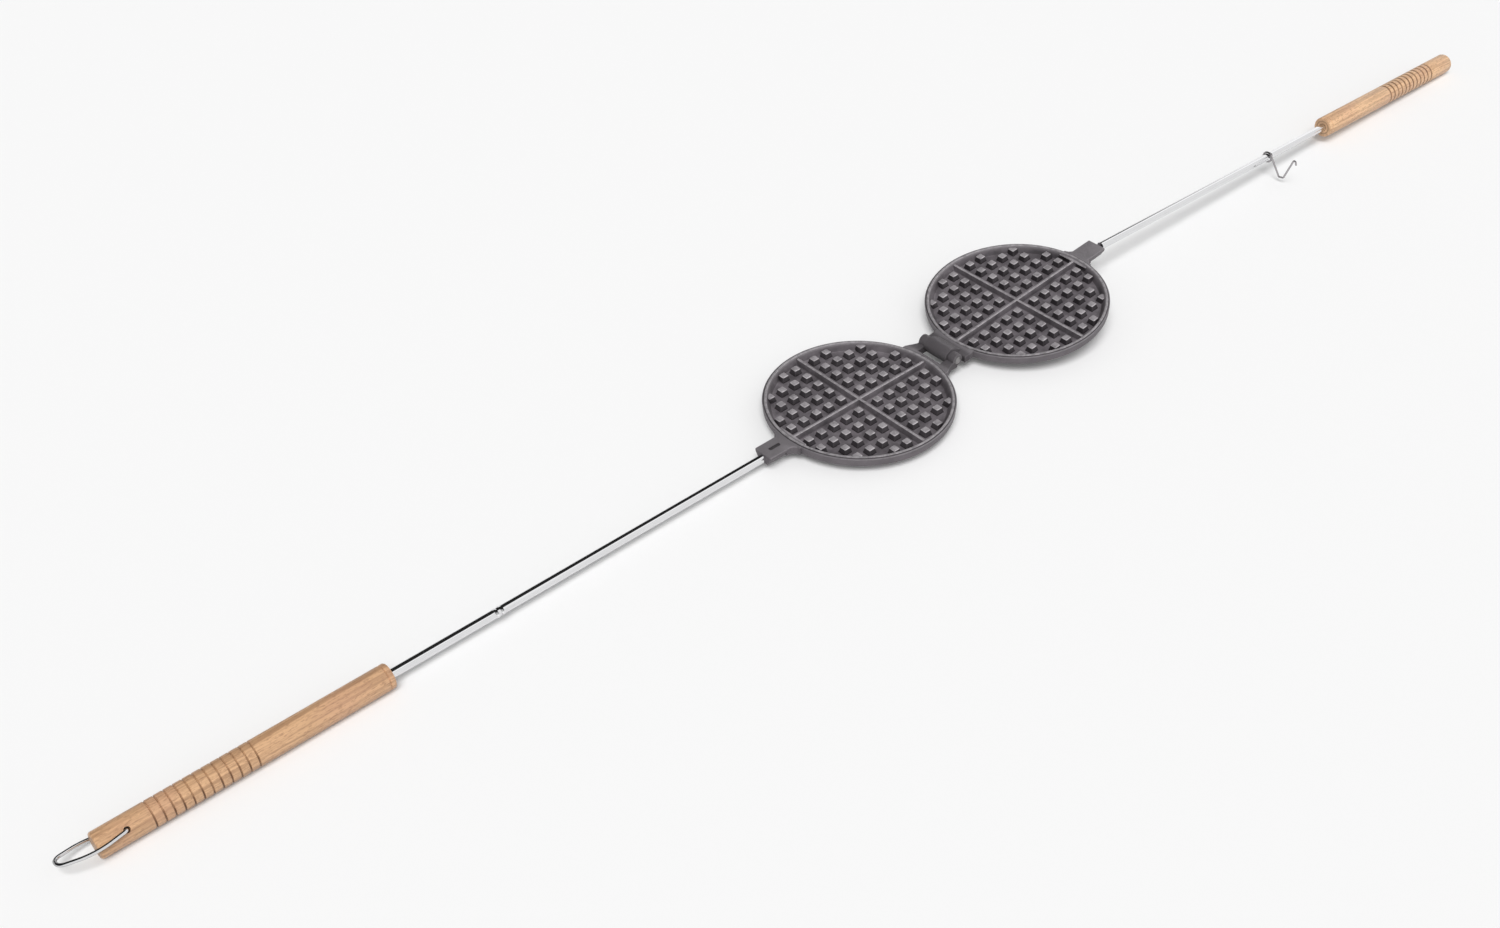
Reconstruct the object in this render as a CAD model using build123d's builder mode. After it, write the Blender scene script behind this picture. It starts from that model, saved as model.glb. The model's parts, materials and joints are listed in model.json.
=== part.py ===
from build123d import *
import os
from math import acos, asin, atan2, cos, degrees, hypot, radians, sin

# A long handled waffle iron lying open on a flat surface, in millimetres.
# X runs along the iron, from the near handle (-X) to the far handle (+X).
# The near plate lies level and the far plate is tipped up a little at the hinge.
# Each half is described in its own frame: origin on the hinge pin's axis,
# x outward along the half, z up out of the baking side.

os.makedirs("parts", exist_ok=True)

# Plates
rim_r = 90.0
plate_from_hinge = 17.0
rim_land = 4.0
plate_height = 17.5
cavity_depth = 7.0
wall_slope = 4.5
floor_thickness = 5.5
skirt_height = 9.0
skirt_draft = 0.7
foot_r = 77.0
foot_width = 15.0
casting_round = 1.2

# Waffle pattern
rib_top = 2.2
rib_base = 5.0
peg_top = 6.4
peg_base = 8.4
peg_pitch = 15.5
peg_first = 11.9
pattern_drop = 1.5
peg_wall_gap = 3.0

# Hinge
pin_r = 3.0
knuckle_r = 8.0
ear_r = 6.2
tongue_half = 14.2
ear_width = 8.4
ear_side_gap = 0.4
shoulder_gap = 0.6
shoulder_half = 24.0
near_root_half = 28.0
flange_thickness = 8.0
ramp_reach = 14.0
window_gap = 1.6
pin_head_r = 3.8
pin_head_height = 1.4
pin_tail_r = 3.6
pin_tail_height = 1.2

# Fits
closed_gap = 0.3
ear_fit = 0.05
tongue_fit = 0.08
rod_fit = 0.05
cross_pin_fit = 0.03
bore_end_gap = 0.4

# Lugs
lug_length = 29.0
lug_half = 10.5
lug_root_half = 17.0
lug_flare = 9.0
lug_top_drop = 0.8
lug_thickness = 10.8
lug_side_drop = 2.6
lug_under_half = 5.6
lug_web_thickness = 8.0
lug_bore_depth = 30.0
lug_slot_length = 13.0
lug_slot_width = 3.8
lug_slot_depth = 1.0
lug_slot_from_end = 14.0
root_overlap = 2.0

# Rods
rod_r = 4.0
rod_drop = 6.5
rod_in_handle = 80.0
bend_from_lug = 4.0
bend_radius = 22.0
ears_from_lug = 287.0
crimp_half = 5.6
crimp_thickness = 3.0
crimp_length = 2.0
crimp_gap = 3.0
cross_pin_r = 2.0
cross_pin_from_end = 14.0
cross_pin_recess = 0.4
cross_pin_past_axis = 1.8

# Handles
handle_from_ears = 103.0
handle_length = 247.0
handle_r = 11.0
handle_chamfer = 1.2
groove_count = 12
groove_pitch = 7.65
groove_first_from_end = 43.0
groove_r = 0.9
ring_line_from_start = 5.0
ring_line_r = 0.5

# Hanging loop: its legs leave the handle and turn aside as they go outward
loop_wire_r = 1.5
loop_from_end = 23.0
loop_hole_r = 2.6
loop_hole_tilt = 40.0
loop_leg_gap = 0.45
loop_spread = 14.6
loop_spread_place = 26.0
loop_spread_lean = 1.3
loop_spread_aside = 4.5
loop_reach = 50.5
loop_tip_half = 6.5
loop_tip_lean = 3.5
loop_tip_aside = 2.2
loop_bend = 3.4
loop_leg_bend = 55.0
loop_tip_bend = 8.0
loop_join_gap = 0.4

# Latch hook: points in its own plane, outward to the side and up from the rod
hook_wire_r = 1.0
hook_eye_gap = 0.3
hook_eye_open = 53.0
hook_low = (18.6, -16.8)
hook_low_end = (24.2, -15.6)
hook_high = (33.6, 12.2)
hook_tip = (36.2, 4.6)
hook_low_bend = 2.2
hook_tip_bend = 1.7

# The far half's tilt in the open pose
far_tilt = 5.2

# Worked out from the sizes above
plate_centre = rim_r + plate_from_hinge
lug_start = plate_centre + rim_r
lug_end = lug_start + lug_length
ear_place = lug_end + ears_from_lug
handle_start = ear_place + handle_from_ears
handle_end = handle_start + handle_length
rim_z = -closed_gap / 2
hinge_z = plate_height - rim_z
rod_z = rim_z - rod_drop
bend_place = lug_end + bend_from_lug
wire_reach = handle_end - loop_from_end + loop_reach + loop_wire_r
low_point = handle_end - handle_chamfer - bend_place
bend_height = (hinge_z + bend_place * sin(radians(far_tilt))
               + rod_z * cos(radians(far_tilt)))
droop = degrees(asin(bend_height / hypot(low_point, handle_r))
                - atan2(handle_r, low_point))
rod_bend = far_tilt + droop
far_reach = (bend_place * cos(radians(far_tilt)) - rod_z * sin(radians(far_tilt))
             + (handle_end - bend_place) * cos(radians(droop))
             + (handle_r - handle_chamfer) * sin(radians(droop)))
hinge_x = (wire_reach - far_reach) / 2


def placed(frame, origin, x_dir=(1, 0, 0), z_dir=(0, 0, 1)):
    """A plane given in another frame's own coordinates."""
    return Plane(frame.location * Plane(origin, x_dir=x_dir, z_dir=z_dir).location)


def rod_line(half, bend):
    """Frame whose x axis is the rod's axis, measured from the hinge along the rod."""
    start = (bend_place * (1 - cos(radians(bend))), 0,
             rod_z + bend_place * sin(radians(bend)))
    return placed(half, start, (cos(radians(bend)), 0, -sin(radians(bend))),
                  (sin(radians(bend)), 0, cos(radians(bend))))


pin_point = (hinge_x, 0, hinge_z)
near = Plane(pin_point, x_dir=(-1, 0, 0), z_dir=(0, 0, 1))
far = Plane(pin_point, x_dir=(cos(radians(far_tilt)), 0, sin(radians(far_tilt))),
            z_dir=(-sin(radians(far_tilt)), 0, cos(radians(far_tilt))))
near_line = rod_line(near, 0)
far_line = rod_line(far, rod_bend)

along = dict(x_dir=(1, 0, 0), z_dir=(0, -1, 0))
across = dict(x_dir=(0, 1, 0), z_dir=(1, 0, 0))
plate_section = Plane((plate_centre, 0, rim_z), **along)
plate_across = Plane((plate_centre, 0, rim_z), **across)
plate_axis = Axis((plate_centre, 0, 0), (0, 0, 1))
inner_r = rim_r - rim_land
floor_r = inner_r - wall_slope
floor_under = cavity_depth + floor_thickness

# One plate with its lug, in a half's own frame, without its side of the hinge
with BuildPart() as pan:
    with BuildSketch(plate_section):
        with BuildLine():
            Polyline((0, 0), (rim_r, 0), (rim_r - skirt_draft, -skirt_height),
                     (foot_r, -plate_height), (0, -plate_height), close=True)
        outline = make_face()
        corners = outline.vertices().filter_by(lambda v: v.X > 1)
        fillet(corners.filter_by(lambda v: v.Y > -skirt_height / 2), casting_round / 2)
        fillet(corners.filter_by(lambda v: v.Y < -skirt_height / 2), casting_round * 3)
    revolve(axis=plate_axis)

    lug_root = lug_start - root_overlap * 4
    lug_top = rim_z - lug_top_drop
    lug_face_half = lug_half - casting_round
    with BuildSketch(Plane((lug_root, 0, lug_top), **across)):
        with BuildLine():
            Polyline((-lug_face_half, 0), (-lug_half, -casting_round),
                     (-lug_half, -lug_side_drop), (-lug_under_half, -lug_thickness),
                     (lug_under_half, -lug_thickness), (lug_half, -lug_side_drop),
                     (lug_half, -casting_round), (lug_face_half, 0), close=True)
        make_face()
    extrude(amount=lug_end - lug_root)
    chamfer(pan.faces().sort_by(Axis.X)[-1].edges(), casting_round)
    with BuildSketch(Plane((0, 0, lug_top))):
        with BuildLine():
            Polyline((lug_root, -lug_root_half), (lug_start, -lug_root_half),
                     (lug_start + lug_flare, -lug_face_half),
                     (lug_start + lug_flare, lug_face_half), (lug_start, lug_root_half),
                     (lug_root, lug_root_half), close=True)
        make_face()
    extrude(amount=-lug_web_thickness)

    with BuildSketch(plate_section):
        with BuildLine():
            Polyline((0, 1), (inner_r + wall_slope / cavity_depth, 1),
                     (floor_r, -cavity_depth), (0, -cavity_depth), close=True)
        hollow = make_face()
        fillet(hollow.vertices().sort_by_distance((floor_r, -cavity_depth))[0], casting_round)
    revolve(axis=plate_axis, mode=Mode.SUBTRACT)

    with BuildSketch(plate_section):
        with BuildLine():
            Polyline((0, -plate_height), (foot_r - foot_width, -plate_height),
                     (foot_r - foot_width - casting_round, -floor_under),
                     (0, -floor_under), close=True)
        make_face()
    revolve(axis=plate_axis, mode=Mode.SUBTRACT)

    rib_height = cavity_depth - pattern_drop
    for section in (plate_section, plate_across):
        with BuildSketch(section):
            with BuildLine():
                Polyline((-rib_base / 2, -cavity_depth), (rib_base / 2, -cavity_depth),
                         (rib_top / 2, -pattern_drop), (-rib_top / 2, -pattern_drop),
                         close=True)
            make_face()
        extrude(amount=inner_r, both=True)

    peg_rows = int((inner_r - peg_first) / peg_pitch) + 1
    peg_steps = [peg_first + row * peg_pitch for row in range(peg_rows)]
    peg_places = [(side * x, end * y) for x in peg_steps for y in peg_steps
                  if hypot(x, y) < inner_r - peg_wall_gap
                  for side in (-1, 1) for end in (-1, 1)]
    peg_draft = degrees(atan2((peg_base - peg_top) / 2, rib_height))
    with BuildSketch(Plane((plate_centre, 0, rim_z - cavity_depth))):
        with Locations(*peg_places):
            Rectangle(peg_base, peg_base)
    extrude(amount=rib_height, taper=peg_draft)

    with BuildSketch(Plane((lug_end, 0, rod_z), **across)):
        Circle(rod_r + rod_fit)
    extrude(amount=-lug_bore_depth, mode=Mode.SUBTRACT)

    cross_pin_place = lug_end - cross_pin_from_end
    lug_under = lug_top - lug_thickness
    with BuildSketch(Plane((cross_pin_place, 0, lug_under))):
        Circle(cross_pin_r + cross_pin_fit)
    extrude(amount=rod_z - lug_under, mode=Mode.SUBTRACT)

    with BuildSketch(Plane((lug_end - lug_slot_from_end, 0, lug_top))):
        SlotOverall(lug_slot_length, lug_slot_width)
    extrude(amount=-lug_slot_depth, mode=Mode.SUBTRACT)

# The near plate carries two ears with a window between them
ear_inner = tongue_half + ear_side_gap
ear_outer = ear_inner + ear_width
window_x = ramp_reach + window_gap
flange_root = plate_from_hinge + root_overlap * 2
with BuildPart(near) as near_plate:
    add(pan.part)
    for side in (-1, 1):
        with BuildSketch(placed(near, (0, side * ear_inner, 0), (1, 0, 0), (0, side, 0))):
            Circle(ear_r)
        extrude(amount=ear_width)
    with BuildSketch(placed(near, (0, 0, rim_z))):
        with BuildLine():
            Polyline((0, -ear_outer), (knuckle_r, -ear_outer),
                     (flange_root - root_overlap, -near_root_half),
                     (flange_root + root_overlap, -near_root_half),
                     (flange_root + root_overlap, near_root_half),
                     (flange_root - root_overlap, near_root_half),
                     (knuckle_r, ear_outer), (0, ear_outer), close=True)
        make_face()
        with Locations((0, 0)):
            Rectangle(window_x * 2, ear_inner * 2, mode=Mode.SUBTRACT)
        with Locations((plate_centre, 0)):
            Circle(rim_r - root_overlap, mode=Mode.SUBTRACT)
    extrude(amount=-flange_thickness)
    with BuildSketch(placed(near, (0, 0, 0), (1, 0, 0), (0, 1, 0))):
        Circle(pin_r + ear_fit)
    extrude(amount=ear_outer, both=True, mode=Mode.SUBTRACT)
near_plate.part.label = "near_plate"
export_step(near_plate.part, "parts/near_plate.step")

# The far plate carries a tongue that fills the space between the ears
shoulder_x = knuckle_r + shoulder_gap
ramp_turn = acos(knuckle_r / ramp_reach)
ramp_touch = (knuckle_r * cos(ramp_turn), knuckle_r * sin(ramp_turn))
with BuildPart(far) as far_plate:
    add(pan.part)
    with BuildSketch(placed(far, (0, 0, 0), **along)):
        Circle(knuckle_r)
        with BuildLine():
            Polyline((0, 0), (0, rim_z), (ramp_reach, rim_z), ramp_touch, close=True)
        make_face()
    extrude(amount=tongue_half, both=True)
    with BuildSketch(placed(far, (0, 0, rim_z))):
        with BuildLine():
            Polyline((0, -tongue_half), (shoulder_x, -tongue_half),
                     (shoulder_x, -shoulder_half),
                     (flange_root + root_overlap, -shoulder_half),
                     (flange_root + root_overlap, shoulder_half),
                     (shoulder_x, shoulder_half), (shoulder_x, tongue_half),
                     (0, tongue_half), close=True)
        make_face()
        with Locations((plate_centre, 0)):
            Circle(rim_r - root_overlap, mode=Mode.SUBTRACT)
    extrude(amount=-flange_thickness)
    with BuildSketch(placed(far, (0, 0, 0), **along)):
        Circle(pin_r + tongue_fit)
    extrude(amount=tongue_half, both=True, mode=Mode.SUBTRACT)
far_plate.part.label = "far_plate"
export_step(far_plate.part, "parts/far_plate.step")

# The hinge pin, with a domed head on one side and a peened tail on the other
def dome(base, radius, height, side):
    """Rounded end of a pin, from its rim to the axis, in a section of the pin."""
    ball = (height ** 2 + radius ** 2) / (2 * height)
    half_turn = asin(radius / ball) / 2
    middle = (side * (base + height - ball + ball * cos(half_turn)), ball * sin(half_turn))
    return ThreePointArc((side * base, radius), middle, (side * (base + height), 0))


with BuildPart() as hinge_pin:
    with BuildSketch(Plane(pin_point, x_dir=(0, -1, 0), z_dir=(1, 0, 0))):
        with BuildLine():
            dome(ear_outer, pin_head_r, pin_head_height, 1)
            Line((ear_outer + pin_head_height, 0), (-ear_outer - pin_tail_height, 0))
            dome(ear_outer, pin_tail_r, pin_tail_height, -1)
            Polyline((-ear_outer, pin_tail_r), (-ear_outer, pin_r), (ear_outer, pin_r),
                     (ear_outer, pin_head_r))
        make_face()
    revolve(axis=Axis(pin_point, (0, 1, 0)))
hinge_pin.part.label = "hinge_pin"
export_step(hinge_pin.part, "parts/hinge_pin.step")


# The rods, each with two pairs of pinched ears and a blind hole for its cross pin
rod_start = lug_end - lug_bore_depth + bore_end_gap
rod_end = handle_start + rod_in_handle
cross_pin_top = rod_z + cross_pin_past_axis


def pinch_ears(line):
    """Two flats pinched out of the rod, either side of the latch's place."""
    for side in (-1, 1):
        inner = ear_place + side * crimp_gap / 2
        with BuildSketch(placed(line, (inner, 0, 0), (0, 1, 0), (side, 0, 0))) as pinch:
            SlotOverall(crimp_half * 2, crimp_thickness)
        extrude(pinch.sketch, amount=crimp_length)


def cross_pin_hole(half):
    """Blind hole from below, for the pin that keeps the rod in its lug."""
    with BuildSketch(placed(half, (cross_pin_place, 0, lug_under))) as hole:
        Circle(cross_pin_r + cross_pin_fit)
    extrude(hole.sketch, amount=cross_pin_top - lug_under + bore_end_gap, mode=Mode.SUBTRACT)


with BuildPart() as near_rod:
    with BuildSketch(placed(near_line, (rod_start, 0, 0), **across)):
        Circle(rod_r)
    extrude(amount=rod_end - rod_start)
    pinch_ears(near_line)
    cross_pin_hole(near)
near_rod.part.label = "near_rod"
export_step(near_rod.part, "parts/near_rod.step")

with BuildPart() as far_rod:
    with BuildLine(placed(far, (0, 0, 0), **along)) as far_path:
        FilletPolyline((rod_start, rod_z), (bend_place, rod_z),
                       (bend_place + (rod_end - bend_place) * cos(radians(rod_bend)),
                        rod_z - (rod_end - bend_place) * sin(radians(rod_bend))),
                       radius=bend_radius)
    with BuildSketch(placed(far, (rod_start, 0, rod_z), **across)):
        Circle(rod_r)
    sweep(path=far_path.line)
    pinch_ears(far_line)
    cross_pin_hole(far)
far_rod.part.label = "far_rod"
export_step(far_rod.part, "parts/far_rod.step")

# One cross pin in each lug, driven in from below
for name, half in (("near_rod_pin", near), ("far_rod_pin", far)):
    with BuildPart() as cross_pin:
        with BuildSketch(placed(half, (cross_pin_place, 0, lug_under + cross_pin_recess))):
            Circle(cross_pin_r)
        extrude(amount=cross_pin_top - lug_under - cross_pin_recess)
        chamfer(cross_pin.edges().filter_by(GeomType.CIRCLE), cross_pin_recess)
    cross_pin.part.label = name
    export_step(cross_pin.part, "parts/" + name + ".step")

# One turned handle, in a rod's own frame
with BuildPart() as grip:
    with BuildSketch(Plane((handle_start, 0, 0), **along)):
        with Locations((handle_length / 2, handle_r / 2)):
            outline = Rectangle(handle_length, handle_r)
        chamfer(outline.vertices().group_by(Axis.Y)[-1], handle_chamfer)
        groove_places = [(handle_length - groove_first_from_end - turn * groove_pitch, handle_r)
                         for turn in range(groove_count)]
        with Locations(*groove_places):
            Circle(groove_r, mode=Mode.SUBTRACT)
        with Locations((ring_line_from_start, handle_r)):
            Circle(ring_line_r, mode=Mode.SUBTRACT)
        Rectangle((rod_in_handle + bore_end_gap) * 2, (rod_r + rod_fit) * 2,
                  mode=Mode.SUBTRACT)
    revolve(axis=Axis((0, 0, 0), (1, 0, 0)))

loop_place = handle_end - loop_from_end
hole_dir = (0, cos(radians(loop_hole_tilt)), sin(radians(loop_hole_tilt)))
loop_frame = placed(near_line, (loop_place, 0, 0), (1, 0, 0),
                    (0, -sin(radians(loop_hole_tilt)), cos(radians(loop_hole_tilt))))
with BuildPart(near_line) as near_handle:
    add(grip.part)
    with BuildSketch(placed(near_line, (loop_place, 0, 0), (1, 0, 0), hole_dir)):
        Circle(loop_hole_r)
    extrude(amount=handle_r * 2, both=True, mode=Mode.SUBTRACT)
near_handle.part.label = "near_handle"
export_step(near_handle.part, "parts/near_handle.step")

with BuildPart(far_line) as far_handle:
    add(grip.part)
far_handle.part.label = "far_handle"
export_step(far_handle.part, "parts/far_handle.step")

# The hanging loop: one wire through the handle, its two ends meeting inside
leg_height = handle_r + loop_leg_gap + loop_wire_r
leg_points = [(0, loop_join_gap / 2, 0), (0, leg_height, 0),
              (loop_spread_place, loop_spread, loop_spread_lean - loop_spread_aside),
              (loop_reach, loop_tip_half, loop_tip_lean - loop_tip_aside)]
back_points = [(loop_reach, -loop_tip_half, loop_tip_lean + loop_tip_aside),
               (loop_spread_place, -loop_spread, loop_spread_lean + loop_spread_aside),
               (0, -leg_height, 0), (0, -loop_join_gap / 2, 0)]
leg_bends = (loop_bend, loop_leg_bend, loop_tip_bend)
with BuildPart() as hanging_loop:
    with BuildLine(loop_frame) as loop_path:
        FilletPolyline(*leg_points, *back_points, radius=leg_bends + leg_bends[::-1])
    with BuildSketch(Plane(loop_path.line @ 0, z_dir=loop_path.line % 0)):
        Circle(loop_wire_r)
    sweep(path=loop_path.line)
hanging_loop.part.label = "hanging_loop"
export_step(hanging_loop.part, "parts/hanging_loop.step")

# The latch hook: a bent wire whose eye turns on the far rod, square to it
eye_r = rod_r + hook_eye_gap + hook_wire_r
low_turn = degrees(atan2(hook_low[1], hook_low[0]))
leave_turn = low_turn + degrees(acos(eye_r / hypot(*hook_low)))
eye_size = 360 - hook_eye_open
with BuildPart() as latch_hook:
    with BuildLine(placed(far_line, (ear_place, 0, 0), (0, -1, 0), (-1, 0, 0))) as hook_path:
        first = CenterArc((0, 0), eye_r, leave_turn + eye_size, -eye_size / 2)
        second = CenterArc((0, 0), eye_r, leave_turn + eye_size / 2, -eye_size / 2)
        leave = (eye_r * cos(radians(leave_turn)), eye_r * sin(radians(leave_turn)))
        FilletPolyline(leave, hook_low, hook_low_end, hook_high, hook_tip,
                       radius=(hook_low_bend, hook_low_bend, hook_tip_bend))
    with BuildSketch(Plane(hook_path.line @ 0, z_dir=hook_path.line % 0)):
        Circle(hook_wire_r)
    sweep(path=hook_path.line)
latch_hook.part.label = "latch_hook"
export_step(latch_hook.part, "parts/latch_hook.step")
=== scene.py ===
import json
from math import acos, asin, atan2, cos, hypot, pi, radians, sin, tan

import bmesh
import bpy
from bpy.props import FloatProperty, FloatVectorProperty, IntProperty, PointerProperty
from mathutils import Matrix, Vector


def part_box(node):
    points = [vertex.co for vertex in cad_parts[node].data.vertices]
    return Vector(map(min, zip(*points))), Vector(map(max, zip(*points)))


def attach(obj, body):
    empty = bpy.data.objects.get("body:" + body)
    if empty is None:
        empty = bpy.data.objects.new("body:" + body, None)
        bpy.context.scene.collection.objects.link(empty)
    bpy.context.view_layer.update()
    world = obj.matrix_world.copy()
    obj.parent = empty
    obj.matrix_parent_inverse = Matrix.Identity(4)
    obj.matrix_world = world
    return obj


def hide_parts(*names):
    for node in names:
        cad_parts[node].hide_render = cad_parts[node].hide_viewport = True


bl_info = {
    "name": "Long-handled waffle iron",
    "version": (1, 0, 0),
    "blender": (4, 5, 0),
    "location": "3D View > Sidebar > Waffle iron",
    "description": "Builds the waffle iron's plates, rods, handles and wires piece by piece",
    "category": "Add Mesh",
}

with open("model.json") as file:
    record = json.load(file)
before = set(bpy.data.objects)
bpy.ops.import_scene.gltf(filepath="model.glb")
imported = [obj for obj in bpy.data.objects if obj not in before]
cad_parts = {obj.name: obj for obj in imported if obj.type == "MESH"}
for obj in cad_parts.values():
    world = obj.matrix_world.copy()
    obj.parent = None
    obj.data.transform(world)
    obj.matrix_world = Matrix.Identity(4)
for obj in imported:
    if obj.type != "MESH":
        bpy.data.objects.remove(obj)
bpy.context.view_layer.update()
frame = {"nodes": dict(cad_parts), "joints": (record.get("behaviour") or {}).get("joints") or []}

# Places taken from the frame
joints = {joint["name"]: joint for joint in frame["joints"]}
hinge = Vector(joints["lid_fold"]["pos_m"])
tilt = radians(180 - joints["lid_fold"]["range_deg"][1])
droop = asin(joints["hook_swing"]["axis"][2])
hole_tilt = asin(-joints["loop_swing"]["axis"][2])
iron_low, iron_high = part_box("near_plate")
wood_low, wood_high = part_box("near_handle")
rod_low, rod_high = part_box("near_rod")
pin_low, pin_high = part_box("hinge_pin")

# The plates: heights and places along a half, from the hinge pin's axis, in metres
RIM_HEIGHT = -0.00015
PLATE_CENTRE = 0.107
PLATE_HEIGHT = 0.0175
PLATE_THICKNESS = 0.0125
LUG_END = hinge.x - iron_low.x
LUG_TOP = RIM_HEIGHT - 0.0008
LUG_HEIGHT = 0.0108
CROSS_PIN_PLACE = LUG_END - 0.014
CROSS_PIN_BORE = 0.00203

# The hinge
FLANGE_DEPTH = 0.0076
FLANGE_TOP = RIM_HEIGHT - 0.0004
FLANGE_END = 0.019
KNUCKLE_RADIUS = 0.008
EAR_RADIUS = 0.0062
EAR_INNER = 0.0146
EAR_OUTER = 0.023
TONGUE_HALF = 0.0142
PIN_RADIUS = 0.003
EAR_BORE = 0.00305
TONGUE_BORE = 0.00308

# The rods
ROD_RADIUS = 0.004
ROD_BORE = ROD_RADIUS + 0.00005
ROD_HEIGHT = (rod_low.z + rod_high.z) / 2 - hinge.z
ROD_START = hinge.x - rod_high.x
ROD_END = hinge.x - rod_low.x
BEND_PLACE = LUG_END + 0.004
BEND_RADIUS = 0.022
EARS_PLACE = 0.513

# The handles
WOOD_START = hinge.x - wood_high.x
WOOD_END = hinge.x - wood_low.x
LOOP_HOLE_PLACE = hinge.x - joints["loop_swing"]["pos_m"][0]
LOOP_HOLE_RADIUS = 0.0026

# Each half's own frame: origin on the hinge pin, x outward, z out of the baking side
near_half = Matrix.Translation(hinge) @ Matrix.Rotation(pi, 4, "Z")
far_half = Matrix.Translation(hinge) @ Matrix.Rotation(-tilt, 4, "Y")

# Each rod's own frame: x along the rod's axis, measured from the hinge
near_line = near_half @ Matrix.Translation((0, 0, ROD_HEIGHT))
far_line = (far_half @ Matrix.Translation((BEND_PLACE, 0, ROD_HEIGHT))
            @ Matrix.Rotation(tilt + droop, 4, "Y") @ Matrix.Translation((-BEND_PLACE, 0, 0)))


def length(name, description, default):
    return FloatProperty(name=name, description=description, default=default, unit="LENGTH")


def tint(name, description, default):
    return FloatVectorProperty(name=name, description=description, default=default, size=3,
                               subtype="COLOR")


class PlateSettings(bpy.types.PropertyGroup):
    rim_radius: length("Rim radius", "Outer radius of a plate's rim", iron_high.y)
    rim_land: length("Rim land", "Width of the flat rim", 0.004)
    cavity_depth: length("Cavity depth", "From the rim to the floor", 0.007)
    pattern_drop: length("Pattern drop", "Pegs and ribs below the rim", 0.0015)
    peg_pitch: length("Peg pitch", "Distance between pegs", 0.0155)
    peg_first: length("First peg", "From a rib's middle to the first peg", 0.0119)
    peg_base: length("Peg base", "Width of a peg at the floor", 0.0084)
    peg_top: length("Peg top", "Width of a peg's top", 0.0064)
    rib_base: length("Rib base", "Width of a rib at the floor", 0.005)
    rib_top: length("Rib top", "Width of a rib's top", 0.0022)
    iron_color: tint("Iron", "Colour of the bare casting", (0.135, 0.122, 0.132))
    worn_color: tint("Worn iron", "Colour where it is rubbed", (0.34, 0.32, 0.335))
    # Painted shade: the dark colour laid on the pegs' sides, the rim's ledge and round the hinge
    painted_shade_color: tint("Dark iron", "Colour of the pegs' sides", (0.022, 0.018, 0.021))


class RodSettings(bpy.types.PropertyGroup):
    ear_half: length("Ear half width", "Rod's axis to an ear's edge", rod_high.y)
    ear_half_thickness: length("Ear half thickness", "Half an ear's depth", 0.0015)
    ear_length: length("Ear length", "Length of one ear along the rod", 0.002)
    ear_gap: length("Ear gap", "Room for the hook between the ears", 0.003)
    chrome_color: tint("Plating", "Colour of the rods' plating", (0.82, 0.82, 0.83))


class HandleSettings(bpy.types.PropertyGroup):
    radius: length("Radius", "Radius of a handle", wood_high.y)
    groove_count: IntProperty(name="Grooves", description="Grooves turned in a handle", default=12)
    groove_pitch: length("Groove pitch", "Distance between grooves", 0.00765)
    groove_first: length("First groove", "From the outer end", 0.043)
    groove_width: length("Groove width", "Width of a groove at its top", 0.0013)
    groove_depth: length("Groove depth", "Depth of a groove", 0.0009)
    light_wood: tint("Light wood", "Colour of the pale grain", (0.70, 0.43, 0.23))
    dark_wood: tint("Dark wood", "Colour of the dark grain", (0.45, 0.26, 0.135))


class WireSettings(bpy.types.PropertyGroup):
    loop_radius: length("Loop wire", "Radius of the hanging loop's wire", 0.0015)
    hook_radius: length("Hook wire", "Radius of the latch hook's wire", 0.001)
    wire_color: tint("Wire", "Colour of the loop's bright wire", (0.76, 0.76, 0.77))
    hook_color: tint("Hook", "Colour of the hook's dull wire", (0.46, 0.44, 0.45))


class StageSettings(bpy.types.PropertyGroup):
    floor_color: tint("Floor", "Colour of the pale floor", (0.82, 0.82, 0.82))
    lens: FloatProperty(name="Lens", description="The camera's focal length in millimetres",
                        default=42.21)


# Modelling by hand: what is selected, drawn, spun and joined

def mm(*values):
    """Lengths given in millimetres, as a vector in metres."""
    return Vector([value / 1000 for value in values])


def leave_edit_mode():
    if bpy.context.object and bpy.context.object.mode != "OBJECT":
        bpy.ops.object.mode_set(mode="OBJECT")


def make_active(piece):
    """Leaves edit mode and selects one piece alone."""
    leave_edit_mode()
    bpy.ops.object.select_all(action="DESELECT")
    piece.select_set(True)
    bpy.context.view_layer.objects.active = piece


def edit(piece):
    make_active(piece)
    bpy.ops.object.mode_set(mode="EDIT")


def started(add, name, **settings):
    """A primitive at its size and place, selected alone."""
    leave_edit_mode()
    bpy.ops.object.select_all(action="DESELECT")
    add(**settings)
    piece = bpy.context.object
    piece.name = name
    piece.data.name = name
    return piece


def apply_place():
    """Gives the selected piece's place, turn and scale to its mesh."""
    bpy.ops.object.transform_apply(location=True, rotation=True, scale=True)


def pick(piece, kind, test):
    """In edit mode, selects the verts, edges or faces that pass a test.

    The test gets an item's centre and its direction: a face's normal or an edge's run."""
    bpy.ops.mesh.select_mode(type=kind)
    bpy.ops.mesh.select_all(action="DESELECT")
    mesh = bmesh.from_edit_mesh(piece.data)
    if kind == "VERT":
        items = [(vert, vert.co, None) for vert in mesh.verts]
    elif kind == "EDGE":
        items = [(edge, (edge.verts[0].co + edge.verts[1].co) / 2,
                  (edge.verts[1].co - edge.verts[0].co).normalized()) for edge in mesh.edges]
    else:
        items = [(face, face.calc_center_median(), face.normal) for face in mesh.faces]
    for item, centre, direction in items:
        if test(centre, direction):
            item.select_set(True)
    bmesh.update_edit_mesh(piece.data)


def extrude(x=0, y=0, z=0):
    """Extrudes what is selected along a vector."""
    bpy.ops.mesh.extrude_region_move(TRANSFORM_OT_translate={"value": (x, y, z)})


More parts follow.
